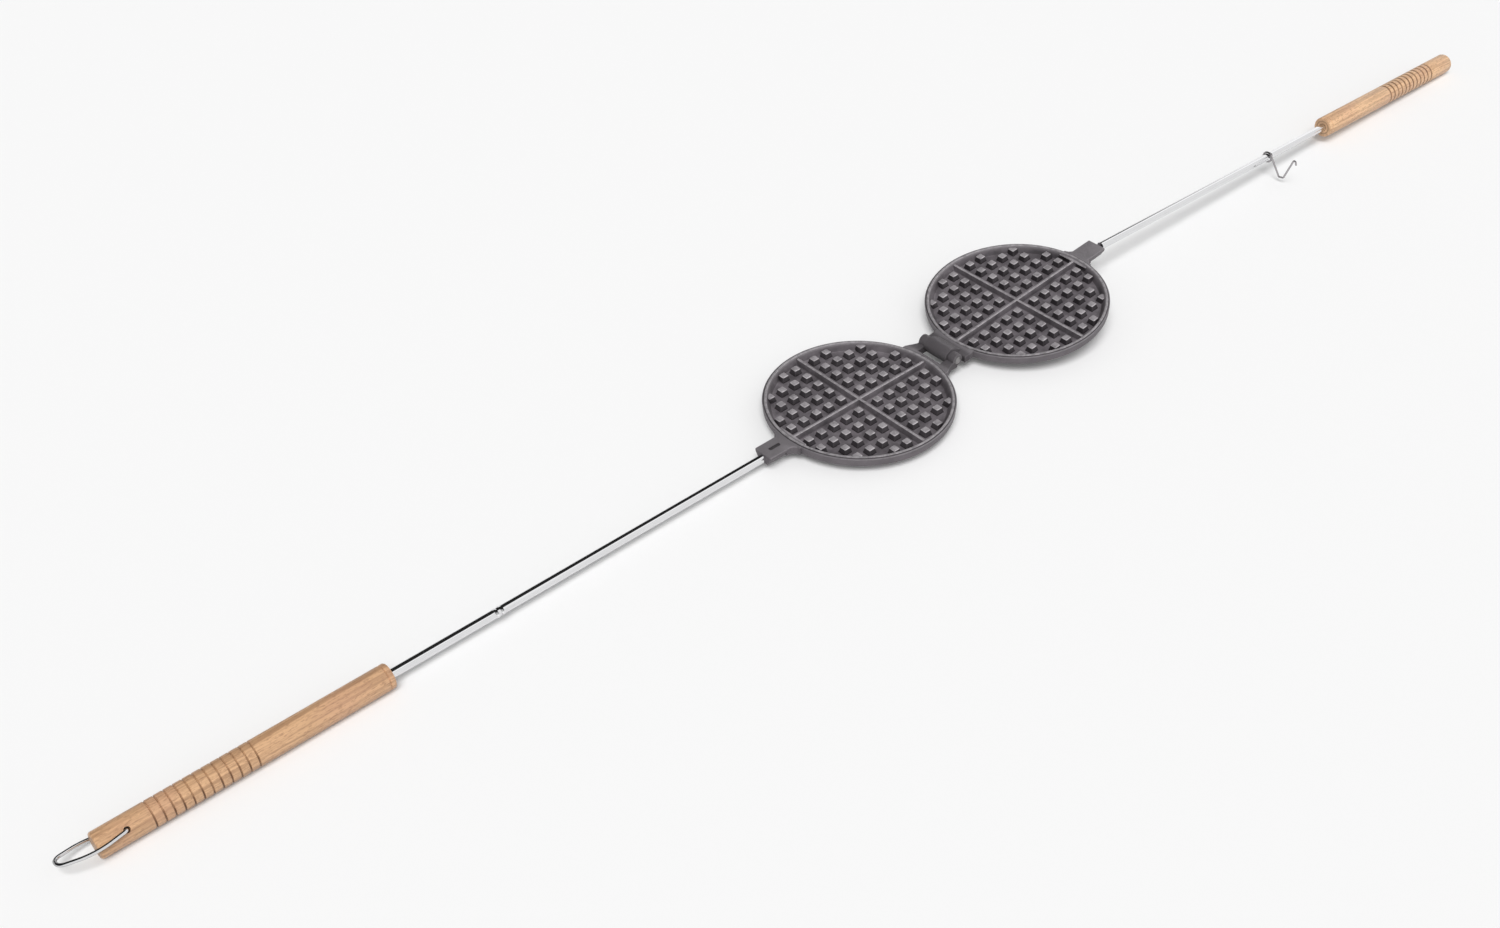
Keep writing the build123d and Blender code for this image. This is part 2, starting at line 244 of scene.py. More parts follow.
def drawn(name, points):
    """A line of vertices drawn from point to point, left in edit mode."""
    piece = started(bpy.ops.mesh.primitive_plane_add, name, size=0.001, location=(0, 0, 0))
    bpy.ops.object.mode_set(mode="EDIT")
    bpy.ops.mesh.select_mode(type="VERT")
    bpy.ops.mesh.select_all(action="SELECT")
    bpy.ops.mesh.merge(type="CENTER")
    bpy.ops.transform.translate(value=Vector(points[0]))
    for start, end in zip(points, points[1:]):
        bpy.ops.mesh.extrude_vertices_move(
            TRANSFORM_OT_translate={"value": Vector(end) - Vector(start)})
    return piece


def close_up(piece):
    """Merges doubles, turns the faces outward and leaves edit mode."""
    bpy.ops.mesh.select_all(action="SELECT")
    bpy.ops.mesh.remove_doubles(threshold=0.000002)
    bpy.ops.mesh.normals_make_consistent(inside=False)
    bpy.ops.object.mode_set(mode="OBJECT")
    return piece


def turned(name, points, centre, axis, steps):
    """A profile drawn from axis to axis and spun once round."""
    piece = drawn(name, points)
    bpy.ops.mesh.select_all(action="SELECT")
    bpy.ops.mesh.spin(steps=steps, angle=2 * pi, center=centre, axis=axis)
    return close_up(piece)


def slab(name, points, depth):
    """A flat outline extruded along a vector."""
    piece = drawn(name, points)
    bpy.ops.mesh.select_all(action="SELECT")
    bpy.ops.mesh.edge_face_add()
    extrude(*depth)
    return close_up(piece)


def soften(piece, width, segments, test):
    """Bevels the edges that pass a test."""
    edit(piece)
    pick(piece, "EDGE", test)
    bpy.ops.mesh.bevel(offset=width, segments=segments, affect="EDGES", clamp_overlap=True)
    bpy.ops.object.mode_set(mode="OBJECT")


def join(body, tool, operation="UNION", crossing=False):
    """Joins a tool to a body, or cuts it out, and removes the tool."""
    make_active(body)
    cut = body.modifiers.new("Join", "BOOLEAN")
    cut.operation = operation
    cut.object = tool
    cut.solver = "EXACT"
    cut.use_self = crossing
    bpy.ops.object.modifier_apply(modifier=cut.name)
    bpy.data.meshes.remove(tool.data)


def drill(piece, low, high, radius, sides=40):
    """Cuts a round hole from one point to another."""
    run = high - low
    tool = started(bpy.ops.mesh.primitive_cylinder_add, "drill", vertices=sides, radius=radius,
                   depth=run.length, location=(low + high) / 2,
                   rotation=run.to_track_quat("Z", "Y").to_euler())
    apply_place()
    join(piece, tool, "DIFFERENCE")


def copied(piece, name):
    """A copy of a piece with its own mesh."""
    make_active(piece)
    bpy.ops.object.duplicate(linked=False)
    copy = bpy.context.object
    copy.name = name
    copy.data.name = name
    return copy


def together(pieces):
    """Makes several pieces one object."""
    make_active(pieces[0])
    for piece in pieces[1:]:
        piece.select_set(True)
    bpy.ops.object.join()
    return pieces[0]


def put_in_place(piece, place):
    """Moves a piece from its own frame to another."""
    make_active(piece)
    piece.matrix_world = place
    apply_place()


def finish_piece(piece, place, material, body, node, angle=35):
    """Puts a piece in place and smooths it, gives it its material and its body, and hides the
    node that it replaces."""
    put_in_place(piece, place)
    bpy.ops.object.shade_smooth_by_angle(angle=radians(angle))
    piece.data.materials.clear()
    piece.data.materials.append(bpy.data.materials[material])
    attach(piece, body)
    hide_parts(node)


def rounded(points, radii, steps=6):
    """A run of corner points with each corner that has a radius turned into an arc."""
    run = []
    for index, corner in enumerate(points):
        radius = radii[index]
        if not radius:
            run.append(Vector(corner))
            continue
        before = (points[index - 1] - corner).normalized()
        after = (points[(index + 1) % len(points)] - corner).normalized()
        half = before.angle(after) / 2
        middle = corner + (before + after).normalized() * (radius / sin(half))
        start = corner + before * (radius / tan(half)) - middle
        end = corner + after * (radius / tan(half)) - middle
        turn = pi - 2 * half
        for step in range(steps + 1):
            share = step / steps
            run.append(middle + (start * sin(turn * (1 - share)) + end * sin(turn * share))
                       / sin(turn))
    return run


# Materials: nodes put in a tree, and the values between them

def feed(node, inputs):
    """Links or sets a node's sockets, each by its name or number."""
    for name, value in inputs.items():
        if isinstance(value, bpy.types.NodeSocket):
            node.id_data.links.new(value, node.inputs[name])
        else:
            node.inputs[name].default_value = value
    return node


def put(tree, kind, inputs=None, **settings):
    """Adds a node with its settings and its inputs."""
    node = tree.nodes.new("ShaderNode" + kind)
    for name, value in settings.items():
        setattr(node, name, value)
    return feed(node, inputs or {})


def math(tree, operation, *values):
    return put(tree, "Math", dict(enumerate(values)), operation=operation).outputs[0]


def times(tree, first, *others):
    """The product of several values."""
    for other in others:
        first = math(tree, "MULTIPLY", first, other)
    return first


def span(tree, one_way, other_way):
    """The distance that two distances at right angles make."""
    return math(tree, "SQRT", math(tree, "ADD", times(tree, one_way, one_way),
                                   times(tree, other_way, other_way)))


def ramp(tree, value, low, high, from_value=0.0, to_value=1.0):
    """A smooth step from one value to another."""
    return put(tree, "MapRange", {"Value": value, "From Min": low, "From Max": high,
                                  "To Min": from_value, "To Max": to_value},
               interpolation_type="SMOOTHSTEP").outputs["Result"]


def fade(tree, value, low, high):
    """A smooth step down from 1 to 0."""
    return ramp(tree, value, low, high, 1.0, 0.0)


def band(tree, value, start, full, leave, end):
    """1 between two places and 0 outside them, with soft edges."""
    return times(tree, ramp(tree, value, start, full), fade(tree, value, leave, end))


def noise(tree, vector, scale, detail, roughness, distortion=0.0):
    return put(tree, "TexNoise", {"Vector": vector, "Scale": scale, "Detail": detail,
                                  "Roughness": roughness, "Distortion": distortion}).outputs[0]


def stretched(tree, vector, by):
    return put(tree, "VectorMath", {0: vector, 1: by}, operation="MULTIPLY").outputs[0]


def bump(tree, height, strength, distance):
    return put(tree, "Bump", {"Height": height, "Strength": strength,
                              "Distance": distance}).outputs[0]


def rgba(color, strength=1.0):
    return (*[part * strength for part in color], 1.0)


def blend_color(tree, share, first, second, mode="MIX"):
    return put(tree, "Mix", {0: share, 6: first, 7: second}, data_type="RGBA",
               blend_type=mode).outputs[2]


def covered(tree, color, *layers):
    """A colour under others, each with its share."""
    for share, over in layers:
        color = blend_color(tree, share, color, rgba(over))
    return color


def new_group(name, inputs, outputs):
    """An empty node group with its sockets: their labels, kinds and defaults."""
    group = bpy.data.node_groups.new(name, "ShaderNodeTree")
    for label, (kind, default) in inputs.items():
        socket = group.interface.new_socket(label, in_out="INPUT",
                                            socket_type="NodeSocket" + kind)
        if default is not None:
            socket.default_value = default
    for label, kind in outputs.items():
        group.interface.new_socket(label, in_out="OUTPUT", socket_type="NodeSocket" + kind)
    given = group.nodes.new("NodeGroupInput").outputs
    return group, given, group.nodes.new("NodeGroupOutput")


def set_group(tree, group, inputs):
    return put(tree, "Group", inputs, node_tree=group).outputs


def new_material(name):
    """An empty material's tree, and its shader."""
    material = bpy.data.materials.new(name)
    material.use_nodes = True
    tree = material.node_tree
    tree.nodes.clear()
    shader = put(tree, "BsdfPrincipled")
    put(tree, "OutputMaterial", {0: shader.outputs[0]})
    return tree, shader


def own_coordinates(tree, place):
    """Object coordinates turned into a half's or a rod's own frame."""
    back = place.inverted()
    where = put(tree, "TexCoord").outputs["Object"]
    return put(tree, "Mapping", {"Vector": where, "Location": back.translation,
                                 "Rotation": back.to_euler()}).outputs[0]


# The iron's finishes, with the painted light and shade on its plates

# Painted light on the worn tops, painted highlights on the pegs' top edges and the rim's lip, and
# painted shade in the lug's slot
WORN_LIT_TOP_COLOR = (0.50, 0.47, 0.49)
EDGE_HIGHLIGHT_COLOR = (0.85, 0.82, 0.84)
LIP_HIGHLIGHT_COLOR = (0.66, 0.63, 0.65)
SLOT_SHADE_COLOR = (0.01, 0.009, 0.01)
PIN_COLOR = (0.30, 0.29, 0.29)
WARM_WOOD = (0.56, 0.31, 0.20)
FLECK_COLOR = (0.30, 0.16, 0.09)
END_RING_COLOR = (0.14, 0.08, 0.045)
GROOVE_COLOR = (0.16, 0.075, 0.035)


def cast_grain_group():
    """Sand-cast skin: fine grain, broad unevenness and a blotchy tone."""
    group, given, result = new_group(
        "Cast grain", {"Vector": ("Vector", None), "Grain scale": ("Float", 900.0)},
        {"Height": "Float", "Tone": "Float"})
    fine = noise(group, given["Vector"], given["Grain scale"], 4.0, 0.6)
    broad = noise(group, given["Vector"], 130.0, 3.0, 0.5)
    blotch = noise(group, given["Vector"], 60.0, 4.0, 0.6)
    feed(result, {"Height": math(group, "ADD", times(group, fine, 0.6), times(group, broad, 0.9)),
                  "Tone": ramp(group, blotch, 0.3, 0.7)})
    return group


def scuff_group():
    """Fine marks on bright metal: stretched scratches and faint smudges."""
    group, given, result = new_group(
        "Scuffs", {"Vector": ("Vector", None), "Stretch": ("Vector", (60.0, 900.0, 900.0))},
        {"Scratches": "Float", "Smudge": "Float"})
    scratches = noise(group, stretched(group, given["Vector"], given["Stretch"]), 1.0, 4.0, 0.65)
    smudge = noise(group, given["Vector"], 45.0, 3.0, 0.6)
    feed(result, {"Scratches": ramp(group, scratches, 0.35, 0.7),
                  "Smudge": ramp(group, smudge, 0.4, 0.65)})
    return group


def beech_group():
    """Turned beech along x: long growth lines, short flecks and a soft tone."""
    group, given, result = new_group(
        "Beech grain", {"Vector": ("Vector", None), "Light": ("Color", (0.7, 0.45, 0.25, 1)),
                        "Dark": ("Color", (0.5, 0.3, 0.15, 1))},
        {"Color": "Color", "Height": "Float"})
    vector = given["Vector"]
    growth = noise(group, stretched(group, vector, (9.0, 330.0, 330.0)), 1.0, 4.0, 0.55, 0.6)
    fleck = noise(group, stretched(group, vector, (210.0, 900.0, 900.0)), 1.0, 3.0, 0.6)
    tone = ramp(group, noise(group, vector, 28.0, 3.0, 0.5), 0.4, 0.7)
    grain = ramp(group, growth, 0.35, 0.68)
    spots = times(group, ramp(group, fleck, 0.5, 0.68), 0.6)
    color = covered(group, blend_color(group, grain, given["Light"], given["Dark"]),
                    (times(group, tone, 0.35), WARM_WOOD), (spots, FLECK_COLOR))
    feed(result, {"Color": color, "Height": math(group, "SUBTRACT", grain, spots)})
    return group


def cast_iron(name, place, group, plates):
    """Warm dark iron, paler where raised parts are worn, with painted light on the tops,
    painted highlights on the pegs' top edges and the rim's lip, and painted shade on the
    pegs' sides, the ledge, the lug's slot and round the hinge.
    """
    tree, shader = new_material(name)
    vector = own_coordinates(tree, place)
    grain = set_group(tree, group, {"Vector": vector, "Grain scale": 900.0})
    x, y, z = put(tree, "SeparateXYZ", {0: vector}).outputs
    normal = put(tree, "SeparateXYZ", {0: put(tree, "TexCoord").outputs["Normal"]}).outputs
    upright = math(tree, "ABSOLUTE", normal["Z"])
    from_middle = math(tree, "SUBTRACT", x, PLATE_CENTRE)
    radius = span(tree, from_middle, y)
    beside = math(tree, "ABSOLUTE", y)
    across = math(tree, "ABSOLUTE", from_middle)

    # Where the casting is worn, and how evenly; the patchy mask also breaks up the painted light
    # and highlights
    uneven = math(tree, "SUBTRACT", noise(tree, vector, 260.0, 3.0, 0.6), 0.5)
    worn = ramp(tree, math(tree, "ADD", z, times(tree, uneven, 0.0016)), -0.0026, -0.0008)
    rubbed = ramp(tree, noise(tree, vector, 190.0, 3.0, 0.65), 0.35, 0.62, 0.25, 0.8)

    # The baking side within the rim: painted shade on the pegs' sides, the worn tops of pegs and
    # ribs with painted light, and painted highlights on their top edges
    baking = times(tree, fade(tree, radius, 0.0832, 0.0846), ramp(tree, z, -0.0100, -0.0090))
    off_ribs = ramp(tree, math(tree, "MINIMUM", beside, across), 0.0038, 0.0044, 0.35, 1.0)
    peg_side_shade = times(tree, fade(tree, upright, 0.3, 0.8), baking,
                      fade(tree, z, -0.0026, -0.0020), off_ribs)
    tops = times(tree, baking, ramp(tree, z, -0.0024, -0.0018))
    edges = times(tree, tops, fade(tree, upright, 0.9, 0.98))

    # Painted highlight on the rim's lip, and painted shade on the ledge outside it, in the slot in
    # the lug and round the hinge
    lip = times(tree, ramp(tree, z, -0.0008, -0.0004), fade(tree, radius, 0.0884, 0.0890))
    ledge = times(tree, band(tree, radius, 0.0876, 0.0881, 0.0888, 0.0892),
                  ramp(tree, z, -0.0025, -0.0018))
    slot_shade = times(tree, band(tree, z, -0.0036, -0.0030, -0.0018, -0.0012),
                    fade(tree, beside, 0.0018, 0.0024),
                    band(tree, x, LUG_END - 0.022, LUG_END - 0.021,
                         LUG_END - 0.007, LUG_END - 0.006))
    hinge_shade = fade(tree, x, 0.013, 0.018)

    color = blend_color(tree, grain["Tone"], rgba(plates.iron_color), rgba(plates.iron_color, 1.3))
    color = covered(tree, color, (times(tree, worn, 0.5), plates.worn_color))
    color = blend_color(tree, times(tree, baking, grain["Tone"]), color, rgba((1.55,) * 3),
                        "MULTIPLY")
    # Worn tops with painted light, painted shade on the pegs' sides, the ledge, the hinge and the
    # slot, and painted highlights on the top edges and the lip
    color = covered(tree, color,
                    (times(tree, tops, rubbed), WORN_LIT_TOP_COLOR),
                    (times(tree, peg_side_shade, 0.9), plates.painted_shade_color),
                    (times(tree, edges, rubbed), EDGE_HIGHLIGHT_COLOR),
                    (times(tree, ledge, 0.7), plates.painted_shade_color),
                    (times(tree, lip, rubbed, 0.7), LIP_HIGHLIGHT_COLOR),
                    (times(tree, hinge_shade, 0.45), plates.painted_shade_color),
                    (times(tree, slot_shade, 0.6), SLOT_SHADE_COLOR))
    rough = ramp(tree, math(tree, "SUBTRACT", grain["Tone"], worn), -1.0, 1.0, 0.42, 0.6)
    feed(shader, {"Base Color": color, "Roughness": rough, "Metallic": 0.45,
                  "Normal": bump(tree, grain["Height"], 0.9, 0.0006)})


def bright_metal(name, group, color, roughness, place, stretch, painted_edge_shade=0.0):
    """Plated or turned metal with fine scratches, and painted shade where it turns away from the
    view when a share for it is given.
    """
    tree, shader = new_material(name)
    marks = set_group(tree, group, {"Vector": own_coordinates(tree, place), "Stretch": stretch})
    shade = blend_color(tree, times(tree, marks["Smudge"], 0.12), rgba(color), rgba(color, 0.82))
    # Painted shade: darker where the surface turns away from the view
    if painted_edge_shade:
        facing = put(tree, "LayerWeight", {"Blend": 0.5}).outputs["Facing"]
        shade = blend_color(tree, ramp(tree, facing, 0.3, 0.85, 0.0, painted_edge_shade), shade,
                            rgba(color, 0.12))
    rough = math(tree, "MULTIPLY_ADD", marks["Scratches"], roughness * 0.3, roughness)
    feed(shader, {"Base Color": shade, "Roughness": rough, "Metallic": 1.0,
                  "Normal": bump(tree, marks["Scratches"], 0.04, 0.00003)})


def beech(name, group, place, handles, shade, groove_dark_width, groove_dark_above):
    """Satin beech, darker in the turned grooves and on the end grain.

    The first share sets where the grooves' darkening ends, as a part of the pitch from a groove's
    middle; the second is how much of it the upper side keeps, as painted shade darkens the lower
    side more. shade makes each handle's wood lighter or darker, as painted light."""
    tree, shader = new_material(name)
    vector = own_coordinates(tree, place)
    # shade makes each handle's wood lighter or darker: painted light
    light, dark = [[part * change for part, change in zip(color, shade)]
                   for color in (handles.light_wood, handles.dark_wood)]
    grain = set_group(tree, group, {"Vector": vector, "Light": rgba(light), "Dark": rgba(dark)})
    x, y, z = put(tree, "SeparateXYZ", {0: vector}).outputs
    on_end = math(tree, "MAXIMUM", ramp(tree, x, WOOD_END - 0.0004, WOOD_END - 0.0001),
                  fade(tree, x, WOOD_START + 0.0001, WOOD_START + 0.0004))
    rings = ramp(tree, math(tree, "PINGPONG", span(tree, y, z), 0.0024), 0.0012, 0.0022)

    # Counted in grooves from the outermost one
    from_first = math(tree, "SUBTRACT", WOOD_END - handles.groove_first, x)
    steps = math(tree, "DIVIDE", from_first, handles.groove_pitch)
    aside = math(tree, "ABSOLUTE", math(tree, "SUBTRACT", steps, math(tree, "ROUND", steps)))
    last = handles.groove_count - 1
    # Painted shade: the grooves darker on the lower side than on the upper
    below = ramp(tree, math(tree, "SUBTRACT", y, z), -0.006, 0.010, groove_dark_above, 1.0)
    patchy = ramp(tree, noise(tree, vector, 90.0, 2.0, 0.5), 0.3, 0.6, 0.5, 0.9)
    in_groove = times(tree, band(tree, steps, -0.4, -0.3, last + 0.3, last + 0.4),
                      fade(tree, aside, 0.06, groove_dark_width), below, patchy)

    color = covered(tree, grain["Color"], (times(tree, on_end, 0.35), dark),
                    (times(tree, rings, on_end, 0.55), END_RING_COLOR),
                    (in_groove, GROOVE_COLOR))
    feed(shader, {"Base Color": color, "Coat Weight": 0.15, "Coat Roughness": 0.3,
                  "Roughness": ramp(tree, grain["Height"], -0.5, 1.0, 0.55, 0.4),
                  "Normal": bump(tree, grain["Height"], 0.15, 0.0002)})


def make_materials():
    """Every finish of the iron, built once."""
    scene = bpy.context.scene
    iron_grain, scuffs, beech_grain = cast_grain_group(), scuff_group(), beech_group()
    cast_iron("Cast iron near", near_half, iron_grain, scene.iron_plates)
    cast_iron("Cast iron far", far_half, iron_grain, scene.iron_plates)
    chrome, along_rod = scene.iron_rods.chrome_color, (60.0, 1500.0, 1500.0)
    bright_metal("Chrome near", scuffs, chrome, 0.09, near_line, along_rod)
    bright_metal("Chrome far", scuffs, chrome, 0.09, far_line, along_rod)
    bright_metal("Pin steel", scuffs, PIN_COLOR, 0.3, near_half, (900.0, 900.0, 900.0))
    wires, along_wire = scene.iron_wires, (200.0, 900.0, 900.0)
    # Painted shade on the wires where they turn away from the view
    bright_metal("Bright wire", scuffs, wires.wire_color, 0.13, near_half, along_wire, 0.85)
    bright_metal("Hook wire", scuffs, wires.hook_color, 0.2, far_half, along_wire, 0.9)
    handles = scene.iron_handles
    # Both handles are the same beech; the far one is painted lighter and the near one a little
    # darker, as painted light
    beech("Beech near", beech_grain, near_line, handles, (0.94, 0.94, 0.98), 0.13, 0.3)
    beech("Beech far", beech_grain, far_line, handles, (1.14, 1.2, 1.3), 0.24, 1.0)


class IRON_OT_plates(bpy.types.Operator):
    """Models the two cast iron plates with their patterns, lugs and hinge halves"""
    bl_idname = "iron.plates"
    bl_label = "Plates"

    def peg(self, plates):
        """One tapered peg with a flared foot and softened edges, in the middle of the frame."""
        floor = RIM_HEIGHT - plates.cavity_depth
        top = RIM_HEIGHT - plates.pattern_drop
        piece = started(bpy.ops.mesh.primitive_cube_add, "peg", size=0.001, location=(0, 0, 0))
        edit(piece)
        bpy.ops.mesh.select_all(action="SELECT")
        foot = plates.peg_base * 1.1
        bpy.ops.transform.resize(value=(foot * 1000, foot * 1000, 1))
        bpy.ops.transform.translate(value=(0, 0, floor - 0.0002))
        for height, width, last in ((floor + 0.0010, plates.peg_base, foot),
                                    (top, plates.peg_top, plates.peg_base)):
            pick(piece, "FACE", lambda centre, normal: normal.z > 0.9)
            extrude(z=height - max(v.co.z for v in bmesh.from_edit_mesh(piece.data).verts))
            bpy.ops.transform.resize(value=(width / last, width / last, 1))
        pick(piece, "EDGE", lambda centre, run: abs(run.z) > 0.3)
        bpy.ops.mesh.bevel(offset=0.0006, segments=2, affect="EDGES")
        pick(piece, "FACE", lambda centre, normal: normal.z > 0.9)
        bpy.ops.mesh.region_to_loop()
        bpy.ops.mesh.bevel(offset=0.0004, segments=2, affect="EDGES")
        return close_up(piece)

    def pattern(self, plates):
        """Two crossed ribs and the pegs between them."""
        floor = RIM_HEIGHT - plates.cavity_depth
        top = RIM_HEIGHT - plates.pattern_drop
        inner = plates.rim_radius - plates.rim_land
        rows = [plates.peg_first + row * plates.peg_pitch
                for row in range(int((inner - plates.peg_first) / plates.peg_pitch) + 1)]
        places = [(side * x, end * y) for x in rows for y in rows
                  if hypot(x, y) < inner - 0.003 for side in (-1, 1) for end in (-1, 1)]
        first = self.peg(plates)
        pegs = []
        for x, y in places:
            peg = copied(first, "peg")
            peg.location = (PLATE_CENTRE + x, y, 0)
            apply_place()
            pegs.append(peg)
        bpy.data.meshes.remove(first.data)

        half_base, half_top, reach = plates.rib_base / 2, plates.rib_top / 2, inner + 0.0012
        section = [(-half_base * 1.15, floor - 0.0005), (half_base * 1.15, floor - 0.0005),
                   (half_base * 0.9, floor + 0.0010), (half_top, top), (-half_top, top),
                   (-half_base * 0.9, floor + 0.0010)]
        ribs = []
        for turn in (0, pi / 2):
            rib = slab("rib", [Vector((-reach, y, z)) for y, z in section], (reach * 2, 0, 0))
            soften(rib, 0.0006, 2, lambda centre, run: abs(run.x) > 0.9 and centre.z > top - 1e-5)
            put_in_place(rib, Matrix.Translation((PLATE_CENTRE, 0, 0))
                         @ Matrix.Rotation(turn, 4, "Z"))
            ribs.append(rib)
        join(ribs[0], ribs[1])
        return together([ribs[0], *pegs])

    def lug(self, plates):
        """The block that holds the rod, with a flared web where it meets the rim."""
        start = PLATE_CENTRE + plates.rim_radius
        root = start - 0.008
        section = [(-0.0105, 0), (-0.0105, -0.0026), (-0.0056, -LUG_HEIGHT),
                   (0.0056, -LUG_HEIGHT), (0.0105, -0.0026), (0.0105, 0)]
        lug = slab("lug", [Vector((root, y, LUG_TOP + z)) for y, z in section],
                   (LUG_END - root, 0, 0))
        soften(lug, 0.001, 3, lambda centre, run: centre.x > start - 0.004)
        depth = 0.008
        side = [(root, 0.017)] + [(start + 0.009 - 0.009 * cos(turn * pi / 16),
                                   0.017 - 0.0075 * sin(turn * pi / 16)) for turn in range(9)]
        outline = side + [(x, -y) for x, y in reversed(side)]
        web = slab("web", [Vector((x, y, LUG_TOP - depth)) for x, y in outline], (0, 0, depth))
        soften(web, 0.001, 3, lambda centre, run: abs(run.z) < 0.1 and centre.z > LUG_TOP - 1e-5
               and start - 0.004 < centre.x < start + 0.0088)
        join(lug, web)
        return lug

    def pan(self, plates):
        """One round plate with its rim, foot ring and lug, in a half's own frame."""
        rim, inner = plates.rim_radius, plates.rim_radius - plates.rim_land
        floor = -plates.cavity_depth
        # From the baking floor over the lip, the ledge and the foot ring to the underside
        corners = [(0, floor), (inner - 0.0045, floor), (inner, 0), (inner + 0.0019, 0),
                   (inner + 0.0023, -0.0008), (rim, -0.0009), (rim - 0.0007, -0.009),
                   (rim - 0.013, -PLATE_HEIGHT), (rim - 0.028, -PLATE_HEIGHT),
                   (rim - 0.0292, -PLATE_THICKNESS), (0, -PLATE_THICKNESS)]
        radii = (0, 0.0016, 0.0005, 0.0004, 0.0003, 0.0007, 0.0036, 0.0036, 0.001, 0.001, 0)
        run = rounded([Vector((x, 0, z)) for x, z in corners], radii, 4)
        centre = Vector((PLATE_CENTRE, 0, RIM_HEIGHT))
        pan = turned("pan", [centre + point for point in run], centre, (0, 0, 1), 160)
        edit(pan)
        for side, level in ((1, RIM_HEIGHT + floor), (-1, RIM_HEIGHT - PLATE_THICKNESS)):
            pick(pan, "FACE", lambda c, n: n.z * side > 0.99 and abs(c.z - level) < 1e-5)
            bpy.ops.mesh.dissolve_faces()
        bpy.ops.object.mode_set(mode="OBJECT")
        join(pan, self.lug(plates))
        return pan

    def flange(self, plates, half, before, after):
        """A flat web from just inside the rim to the hinge, with the points before the rim's
        arc and after it."""
        steps = 12
        radius = plates.rim_radius - 0.002
        turn = asin(half / radius)
        angles = [turn - 2 * turn * step / steps for step in reversed(range(steps + 1))]
        arc = [(PLATE_CENTRE - radius * cos(angle), radius * sin(angle)) for angle in angles]
        outline = before + [(FLANGE_END, -half)] + arc + [(FLANGE_END, half)] + after
        return slab("flange", [Vector((x, y, FLANGE_TOP - FLANGE_DEPTH)) for x, y in outline],
                    (0, 0, FLANGE_DEPTH))

    def knuckle(self, start, end, radius):
        """A round ear or tongue about the hinge pin, with softened rims."""
        edge = 0.0007 if end > start else -0.0007
        profile = [(0, start), (radius - 0.0007, start), (radius - 0.0002, start + edge * 0.3),
                   (radius, start + edge), (radius, end - edge),
                   (radius - 0.0002, end - edge * 0.3), (radius - 0.0007, end), (0, end)]
        return turned("knuckle", [Vector((x, y, 0)) for x, y in profile],
                      (0, 0, 0), (0, 1, 0), 64)

    def near_hinge(self, pan, plates):
        """A flange with a window and two round ears."""
        window, shoulder = 0.0156, 0.008
        flange = self.flange(plates, 0.028, [(0, -EAR_OUTER), (shoulder, -EAR_OUTER)],
                             [(shoulder, EAR_OUTER), (0, EAR_OUTER), (0, EAR_INNER),
                              (window, EAR_INNER), (window, -EAR_INNER), (0, -EAR_INNER)])
        soften(flange, 0.0006, 2, lambda centre, run: 0.001 < centre.x < 0.0195
               and abs(run.z) < 0.1)
        for side in (-1, 1):
            join(flange, self.knuckle(side * EAR_INNER, side * EAR_OUTER, EAR_RADIUS))
        join(pan, flange)
        reach = Vector((0, EAR_OUTER + 0.002, 0))
        drill(pan, -reach, reach, EAR_BORE)

    def far_hinge(self, pan, plates):
        """A flange with two shoulders, and the tongue that fills the space between the ears."""
        shoulder, half = KNUCKLE_RADIUS + 0.0006, 0.024
        flange = self.flange(plates, half, [(0, -TONGUE_HALF), (shoulder, -TONGUE_HALF),
                                            (shoulder, -half)],
                             [(shoulder, half), (shoulder, TONGUE_HALF), (0, TONGUE_HALF)])
        soften(flange, 0.0006, 2, lambda centre, run: 0.001 < centre.x < 0.0195
               and abs(run.z) < 0.1 and abs(centre.y) > TONGUE_HALF - 0.001)
        join(flange, self.knuckle(-TONGUE_HALF, TONGUE_HALF, KNUCKLE_RADIUS))
        # A slope from the flange up to the tongue's round
        reach, side = 0.014, TONGUE_HALF - 0.0003
        touch = acos(KNUCKLE_RADIUS / reach)
        profile = [(0, FLANGE_TOP - 0.002), (reach + 0.002, FLANGE_TOP - 0.002),
                   (reach, FLANGE_TOP),
                   (KNUCKLE_RADIUS * cos(touch), KNUCKLE_RADIUS * sin(touch)), (0, 0.005)]
        join(flange, slab("slope", [Vector((x, -side, z)) for x, z in profile], (0, side * 2, 0)))
        join(pan, flange)
        end = Vector((0, TONGUE_HALF + 0.002, 0))
        drill(pan, -end, end, TONGUE_BORE)

    def execute(self, context):
        plates = context.scene.iron_plates
        pan = self.pan(plates)
        join(pan, self.pattern(plates), crossing=True)
        drill(pan, Vector((LUG_END - 0.03, 0, ROD_HEIGHT)),
              Vector((LUG_END + 0.002, 0, ROD_HEIGHT)), ROD_BORE)
        drill(pan, Vector((CROSS_PIN_PLACE, 0, LUG_TOP - LUG_HEIGHT - 0.001)),
              Vector((CROSS_PIN_PLACE, 0, ROD_HEIGHT)), CROSS_PIN_BORE)

        near = copied(pan, "near_waffle_plate")
        half_length, half_width, depth = 0.0065, 0.0019, 0.001
        corners = [Vector((CROSS_PIN_PLACE + x * half_length, y * half_width, LUG_TOP - depth))
                   for x, y in ((-1, -1), (1, -1), (1, 1), (-1, 1))]
        join(near, slab("slot", rounded(corners, [0.00185] * 4, 5), (0, 0, depth * 3)),
             "DIFFERENCE")
        self.near_hinge(near, plates)
        finish_piece(near, near_half, "Cast iron near", "near_half", "near_plate")
        pan.name = "far_waffle_plate"
        self.far_hinge(pan, plates)
        finish_piece(pan, far_half, "Cast iron far", "far_half", "far_plate")
        return {"FINISHED"}


